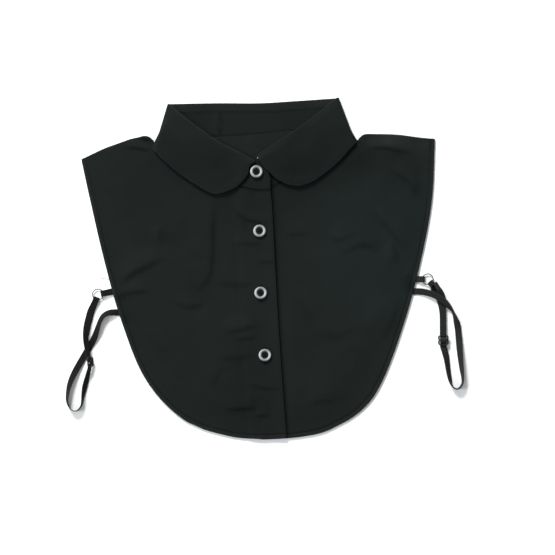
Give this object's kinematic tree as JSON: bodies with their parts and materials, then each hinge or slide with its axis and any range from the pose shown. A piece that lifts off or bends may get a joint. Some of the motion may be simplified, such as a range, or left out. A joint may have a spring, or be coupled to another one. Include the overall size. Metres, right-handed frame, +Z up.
{
  "type": "detachable shirt collar",
  "caption": "False shirt collar lying flat, with a round-ended collar, a buttoned bib front, a matching back and an adjustable elastic strap on each side.",
  "frame": {"origin": "middle of the bounding box, at the table that the collar lies on", "axes": "+Z up from the table through the back, the fronts and the buttons; +Y from the hem to the neck; +X to the right of the picture, towards the button front"},
  "size_m": [0.3988, 0.3422, 0.0102],
  "materials": {
    "cloth": "black plain-weave shirt cloth, matt with a soft sheen",
    "tape": "black woven elastic tape",
    "button": "polished black with a pale pearl rim",
    "ring": "black coated wire, satin",
    "slider": "black, smooth"
  },
  "bodies": {
    "root": {"back_panel": "cloth", "front_buttonhole_side": "cloth", "front_button_side": "cloth", "collar_band": "cloth", "collar_fall": "cloth", "button_1": "button", "button_2": "button", "button_3": "button", "button_4": "button", "strap_left": "tape", "strap_right": "tape", "tab_left": "tape", "tab_right": "tape", "ring_left": "ring", "ring_right": "ring", "slider_left": "slider", "slider_right": "slider"}
  },
  "joints": []
}
